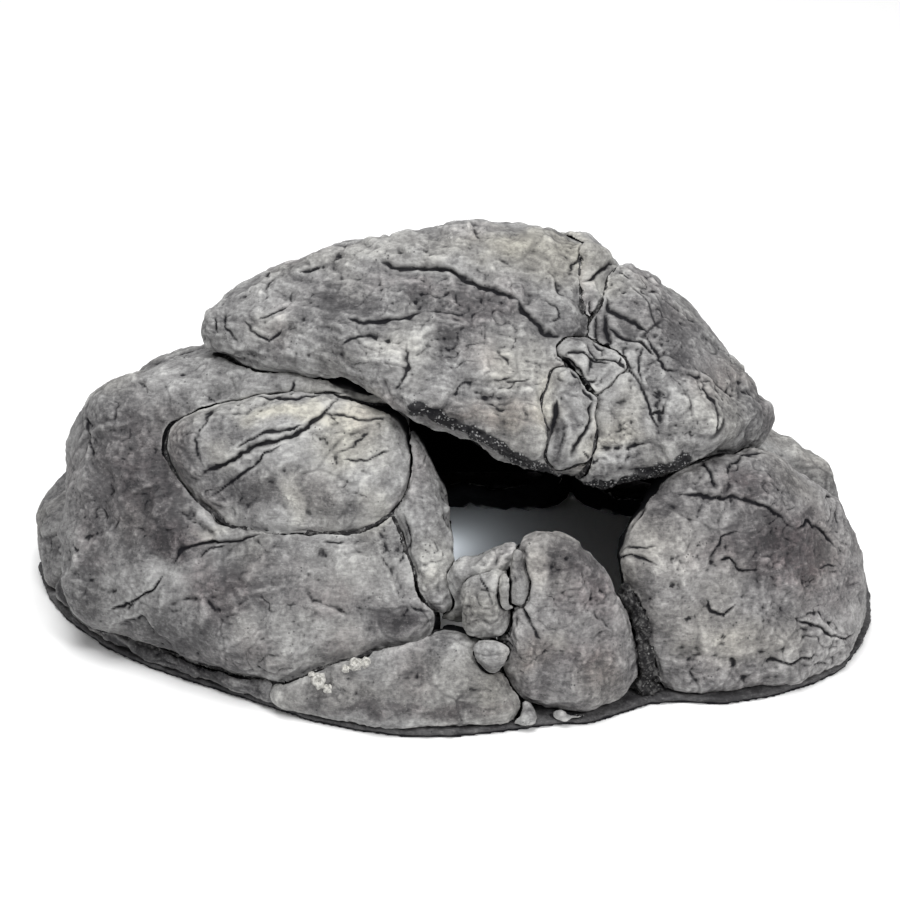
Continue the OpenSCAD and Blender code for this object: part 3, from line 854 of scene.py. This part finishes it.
def painted_rock(name, lightness=0.0, warmth=0.0, speckle=1.0):
    """Grey stone resin: blotched greys, a dark wash that also carries painted shade, near-black
    painted shade on the inner walls, and a dry-brushed top coat.
    """
    m = Nodes(name)
    grain = m.noise(1.5, 5.0, 0.65)
    mottle = m.noise(5.0, 5.0, 0.65, distort=0.6)
    blotch = m.noise(17, 4.0, 0.6, distort=0.8)
    streaks = m.noise(2.2, 4.0, 0.65, stretch=(0.30, 0.8, 1.3), distort=0.9)
    creases = m.noise(8.0, 3.0, 0.5, stretch=(0.8, 1.0, 1.4), distort=0.7)
    creases = m.math("ABSOLUTE", m.math("SUBTRACT", creases, 0.5))
    creases = m.math("MULTIPLY", m.span(creases, 0.004, 0.030, 1.0, 0.0),
                     m.span(m.noise(15, 2.0), 0.47, 0.60))

    light = m.math("ADD", m.attribute("light"), MIDDLE_GREY + lightness)
    for pattern, amount in ((mottle, 0.50), (blotch, 0.62), (grain, 0.62), (streaks, 0.50)):
        light = m.varied(light, pattern, amount)
    light = m.math("MULTIPLY_ADD", m.attribute("brushed"), 0.26, light)
    colour = m.ramp(light, PAINT_GREYS)
    cream = m.math("MULTIPLY", m.attribute("cream"), 0.8, clamp=True)
    colour = m.mix(cream, colour, CREAM_TINT, "MULTIPLY")
    brown = m.span(mottle, 0.35, 0.65, 0.35, 1.0)
    brown = m.math("MULTIPLY", m.attribute("brown"), brown, clamp=True)
    colour = m.mix(m.math("ADD", brown, warmth, clamp=True), colour, BROWN_TINT, "MULTIPLY")

    # The wash, with the painted shade it carries, is thickest in pits and cracks, and breaks up
    # into specks on the faces.
    wash_and_shade = m.varied(m.attribute("wash_and_shade"), grain, 0.5)
    wash_and_shade = m.math("MAXIMUM", wash_and_shade, m.math("MULTIPLY", creases, 0.32))
    wash_and_shade = m.span(wash_and_shade, 0.12, 0.85, 0.0, 0.96)
    colour = m.mix(wash_and_shade, colour, WASH_AND_SHADE_BLACK)
    specks = m.span(m.cells(2.6), 0.10, 0.22, 0.75 * speckle, 0.0)
    specks = m.math("MULTIPLY", specks, m.span(m.noise(9, 2.0), 0.52, 0.66))
    colour = m.mix(specks, colour, SPECK_BLACK)
    # Pale dust stays on what stands proud and off the wash and the painted shade.
    dust = m.span(m.noise(1.1, 3.0, 0.7), 0.60, 0.74, 0.0, 0.28 * speckle)
    dust = m.math("MULTIPLY", dust, m.span(m.attribute("brushed"), -0.1, 0.5, 0.35, 1.0))
    dust = m.math("MULTIPLY", dust, m.math("SUBTRACT", 1.0, wash_and_shade, clamp=True))
    colour = m.mix(dust, colour, DUST_GREY)

    # The rough lip over the mouth: dark, with pale beads.
    beads = m.span(m.cells(1.3), 0.20, 0.42, 0.6, 0.0)
    beads = m.math("MULTIPLY", beads, m.span(m.noise(5, 2.0), 0.40, 0.52))
    lip = m.span(m.varied(m.attribute("lip"), mottle, 0.8), 0.30, 0.62, 0.0, 0.92)
    colour = m.mix(lip, colour, m.mix(beads, LIP_BLACK, BEAD_GREY))
    # Inner walls are near black: painted shade inside the hollow.
    inner = m.span(m.attribute("inner"), 0.3, 0.9)
    colour = m.mix(inner, colour, INNER_SHADE_BLACK)
    m.link(colour, m.shader.inputs["Base Color"])
    # Places under the wash and the painted shade, the inner walls and the lip don't shine.
    dull = m.math("MAXIMUM", m.math("MAXIMUM", wash_and_shade, inner), lip)
    shine = m.span(dull, 0.2, 0.9, SHINE, DULL_SHINE)
    m.link(shine, m.shader.inputs["Specular IOR Level"])

    height = m.math("MULTIPLY_ADD", grain, 0.6, m.math("MULTIPLY", streaks, 0.5))
    height = m.math("MULTIPLY_ADD", creases, -0.35, height)
    normal = m.bump(height, 0.9, 0.55)
    normal = m.bump(m.noise(0.6, 3.0, 0.6), 0.16, 0.6, below=normal)
    m.link(normal, m.shader.inputs["Normal"])
    rough = m.span(mottle, 0.3, 0.7, ROCK_ROUGHNESS - 0.10, ROCK_ROUGHNESS + 0.10)
    m.link(rough, m.shader.inputs["Roughness"])
    return m.material


def bonding_resin(name):
    """Dark, coarse and lumpy, with a few pale grains."""
    m = Nodes(name)
    lumps = m.noise(2.2, 5.0, 0.7)
    grains = m.span(m.cells(1.8), 0.12, 0.30, 1.0, 0.0)
    grains = m.math("MULTIPLY", grains, m.span(m.noise(4, 2.0), 0.45, 0.58))
    colour = m.ramp(lumps, [(0.30, (0.008, 0.008, 0.009)), (0.50, (0.030, 0.029, 0.030)),
                            (0.68, (0.15, 0.148, 0.145))])
    colour = m.mix(m.math("MULTIPLY", grains, 0.6), colour, (0.34, 0.34, 0.33, 1))
    m.link(colour, m.shader.inputs["Base Color"])
    m.link(m.bump(lumps, 1.1, 0.8), m.shader.inputs["Normal"])
    m.link(m.span(lumps, 0.3, 0.7, 0.75, 0.95), m.shader.inputs["Roughness"])
    m.shader.inputs["Specular IOR Level"].default_value = 0.08
    return m.material


def barnacle_shell(name):
    """Pale cream resin with the dark wash lying in its pits."""
    m = Nodes(name)
    grain = m.noise(1.2, 4.0, 0.6)
    colour = m.ramp(grain, [(0.3, (0.16, 0.155, 0.15)), (0.5, (0.46, 0.45, 0.42)),
                            (0.75, (0.72, 0.71, 0.67))])
    m.link(colour, m.shader.inputs["Base Color"])
    m.link(m.bump(grain, 0.5, 0.6), m.shader.inputs["Normal"])
    m.link(m.span(grain, 0.3, 0.7, 0.6, 0.8), m.shader.inputs["Roughness"])
    return m.material


# The material of each slot.
PAINT = {
    "rock_grey": painted_rock("rock_grey_paint"),
    "rock_pale": painted_rock("rock_pale_paint", lightness=0.08),
    "rock_brown": painted_rock("rock_brown_paint", lightness=-0.02, warmth=0.12),
    "rock_dark": painted_rock("rock_dark_paint", lightness=-0.30, speckle=1.3),
    "joint_resin": bonding_resin("joint_resin_dark"),
}

# ------------------------------------------------------ the castings

stone("roof_slab", FINE, "rock_grey", bedding=0.9, dip=-12, seed=100)
stone("roof_right_block", FINE, "rock_pale", tone=-0.10, facets=1.1, mid=1.5,
      hairlines=0.9, seed=200)
stone("roof_crown_stone", FINE, "rock_pale", tone=-0.04, facets=0.8, filled=0.5, seed=240)
stone("roof_fracture_shard", FINE, "rock_grey", tone=0.03, filled=0.92, seed=260)
stone("roof_wedge_stone", FINE, "rock_grey", facets=0.9, mid=1.1, filled=0.88, seed=280)
stone("left_boulder", FINE, "rock_grey", tone=-0.02, facets=0.8, mid=0.9, seed=300)
stone("left_face_slab", FINE, "rock_pale", facets=0.7, bedding=0.4, dip=30, seed=340)
stone("left_edge_shard", FINE, "rock_pale", facets=0.8, bedding=0.4, dip=100, mid=1.2, seed=360)
stone("left_rear_stone", COARSE, "rock_grey", tone=-0.08, seed=380)
stone("left_toe_ledge", FINE, "rock_dark", bedding=1.6, dip=-20, mid=2.2, seed=400)
stone("front_slab", FINE, "rock_pale", undulate=0.6, facets=0.4, mid=0.9, seed=420)
stone("mouth_cobble", FINE, "rock_pale", tone=-0.06, facets=0.8, bedding=0.6, dip=70,
      mid=1.3, filled=0.35, seed=440)
stone("mouth_cap_stone", FINE, "rock_grey", facets=0.8, bedding=1.0, dip=60, mid=1.2,
      filled=0.5, seed=460)
stone("mouth_slivers", SMALLEST, "rock_pale", tone=-0.08, undulate=0.1, facets=0.0,
      mid=0.6, filled=0.7, seed=480)
stone("wedge_chip", SMALL, "rock_grey", tone=-0.06, undulate=0.2, facets=0.6,
      filled=0.85, seed=490)
stone("centre_boulder", FINE, "rock_brown", tone=-0.02, facets=0.6, bedding=0.5, dip=80,
      mid=0.9, seed=500)
stone("toe_pebbles", SMALL, "rock_pale", tone=-0.05, undulate=0.3, facets=0.8, mid=1.4,
      filled=0.6, seed=520)
stone("right_boulder", FINE, "rock_brown", tone=-0.02, facets=0.8, mid=1.2, seed=540)
stone("right_rear_stone", FINE, "rock_grey", tone=-0.02, facets=0.7, seed=560)
stone("rear_left_boulder", COARSE, "rock_grey", bedding=0.5, dip=15, seed=600)
stone("rear_centre_boulder", COARSE, "rock_grey", tone=0.03, facets=1.2, seed=620)
stone("rear_right_boulder", COARSE, "rock_grey", tone=-0.03, bedding=0.4, dip=-25, seed=640)


def lumpy(name, edge, slot, amount, size, seed, light=-0.1):
    """A rough casting or a smear of resin: no cracks and no stains."""
    skin = Skin(remeshed(name, edge))
    n = skin.normals()
    height = amount * layered(skin.q / size, seed, 3)
    skin.q = warped(skin.q + n * (height * ramp(skin.q[:, 2], 0.2, 1.2))[:, None])
    skin.q[:, 2] = np.maximum(skin.q[:, 2], 0.0)
    skin.store()
    skin.keep("light", light + 0.15 * noise(skin.q / 20, seed + 5))
    # Painted shade along the foot.
    foot_shade = 1 - ramp(skin.q[:, 2] + 0.5 * noise(skin.q / 6, seed + 6), 0.4, 2.2)
    skin.keep("wash_and_shade", foot_shade * 0.95)
    for attribute in ("brushed", "cream", "brown", "lip", "inner"):
        skin.keep(attribute, np.zeros(len(skin.q)))
    finished(name, skin.mesh, slot)


lumpy("right_seam_putty", FINE, "joint_resin", amount=3.0, size=7.0, seed=700)
# The rim's dark paint is partly painted shade along the ornament's bottom edge.
lumpy("base_rim", RIM_EDGE, "rock_dark", amount=0.9, size=5.0, seed=720, light=-0.02)
for resin in RESIN:
    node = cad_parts[resin]
    if not node.material_slots:
        node.data.materials.append(PAINT["joint_resin"])
    for material_slot in node.material_slots:
        material_slot.link = "OBJECT"
        material_slot.material = PAINT["joint_resin"]

# ------------------------------------------------------ the cast barnacles

# They are low cones with a hollow middle, on the joint over the front slab. The rings run from
# the foot, over the lip and into the middle: how far out, and how high.
RINGS = [(1.15, -0.35), (1.0, 0.0), (0.86, 0.55), (0.70, 0.95), (0.56, 1.0), (0.46, 0.8),
         (0.34, 0.35), (0.16, 0.2)]
AROUND = 28              # points round a ring
WOBBLES = 14             # uneven places round a ring
RIBS = 7

# Each barnacle: across and up the front sketch, radius and height, in mm.
BARNACLES = [(-62.5, -110, 3.4, 1.9), (-58, -113.5, 2.0, 1.3), (-45, -101.5, 3.0, 1.8),
             (-40, -101, 2.6, 1.6), (-49.5, -104, 1.8, 1.1), (-66, -106.5, 1.6, 1.0)]
BARNACLE_SEED = 800


def barnacle(bm, place, up, radius, tall, seed):
    """Adds one ringed cone whose lip is uneven."""
    rng = np.random.default_rng(seed)
    up = Vector(up).normalized()
    side = up.orthogonal().normalized()
    across = up.cross(side)
    wobble = 1 + 0.16 * rng.standard_normal(WOBBLES)
    wobble = (wobble + np.roll(wobble, 1)) / 2
    wobble = np.append(wobble, wobble[0])
    loops = []
    for out, high in RINGS:
        loop = []
        for k in range(AROUND):
            a = math.tau * k / AROUND
            w = np.interp(k * WOBBLES / AROUND, range(WOBBLES + 1), wobble)
            rib = 1 + 0.07 * math.cos(a * RIBS)
            outward = (side * math.cos(a) + across * math.sin(a)) * (radius * out * w * rib)
            loop.append(bm.verts.new(to_frame(Vector(place) + outward + up * (tall * high * w))))
        loops.append(loop)
    for low, high in zip(loops, loops[1:]):
        for k in range(AROUND):
            following = (k + 1) % AROUND
            bm.faces.new((low[k], low[following], high[following], high[k]))
    bm.faces.new(loops[-1])


def on_sketch(x, y, tree):
    """The point in mm that lies under a place on the front sketch, and the way the surface
    faces there."""
    way = AHEAD * DISTANCE + np.array([x, 0.0, 0.0]) + UPWARD * y
    hit = tree.ray_cast(to_frame(EYE), Vector(way).normalized(), 3.0)
    return (np.array(hit[0]) - ORIGIN) / MM, hit[1]


shown = bmesh.new()
for host in ("front_slab_casting", "left_boulder_casting"):
    shown.from_mesh(bpy.data.objects[host].data)
ground = BVHTree.FromBMesh(shown)
shown.free()
crust = bmesh.new()
for k, (x, y, radius, tall) in enumerate(BARNACLES):
    place, up = on_sketch(x, y, ground)
    barnacle(crust, place, up, radius, tall, BARNACLE_SEED + k)
crust_mesh = bpy.data.meshes.new("barnacle_rings")
crust.to_mesh(crust_mesh)
crust.free()
crust_mesh.shade_smooth()
barnacles = placed("barnacle_rings", crust_mesh)
crust_mesh.materials.append(barnacle_shell("barnacle_paint"))
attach(barnacles, "root")

# ------------------------------------------------------ the set

FLOOR_HALF = 12.0        # half the floor's width, in metres
FLOOR_DROP = 0.0004      # how far under the ornament's foot the floor lies, in metres
FLOOR_WHITE = (0.92, 0.92, 0.92, 1)

floor_mesh = bpy.data.meshes.new("floor")
corners = ((-1, -1), (1, -1), (1, 1), (-1, 1))
floor_mesh.from_pydata([(x * FLOOR_HALF, y * FLOOR_HALF, cad_low.z - FLOOR_DROP)
                        for x, y in corners], [], [(0, 1, 2, 3)])
floor = placed("floor", floor_mesh)
floor_paint = Nodes("floor_white")
floor_paint.shader.inputs["Base Color"].default_value = FLOOR_WHITE
floor_paint.shader.inputs["Roughness"].default_value = 0.9
floor_mesh.materials.append(floor_paint.material)


def softbox(name, place, size, watts, aim=(0.0, 0.0, 60.0)):
    """A round area light at a place, turned to another, both in mm like its size."""
    light = bpy.data.lights.new(name, "AREA")
    light.shape = "DISK"
    light.size = size * MM
    light.energy = watts
    lamp = placed(name, light)
    lamp.location = to_frame(place)
    lamp.rotation_euler = (to_frame(aim) - lamp.location).to_track_quat("-Z", "Y").to_euler()
    return lamp


softbox("key_softbox", (-100, -300, 1700), 1000, 22)
softbox("front_softbox", (800, -1000, 1250), 360, 12)
softbox("back_softbox", (-200, 1200, 1300), 900, 8)
# A small lamp under the roof, just inside the mouth, for the light that reaches the floor there.
glow = softbox("mouth_glow", (-14, 36, 24), 12, 0.0036, aim=(-2, 42, 0))
glow.data.spread = math.radians(120)
glow.data.color = (0.86, 0.93, 1.0)
glow.visible_camera = False

WORLD_STRENGTH = 0.42
world = bpy.data.worlds.new("studio")
world.use_nodes = True
background = world.node_tree.nodes["Background"]
background.inputs["Color"].default_value = (1, 1, 1, 1)
background.inputs["Strength"].default_value = WORLD_STRENGTH
bpy.context.scene.world = world

lens = bpy.data.cameras.new("camera")
lens.lens = 85
lens.sensor_width = 36
lens.clip_end = 20
camera = placed("camera", lens)
camera.location = to_frame(EYE)
camera.rotation_euler = Vector(AHEAD).to_track_quat("-Z", "Y").to_euler()
bpy.context.scene.camera = camera
bpy.context.scene.view_settings.view_transform = "Standard"
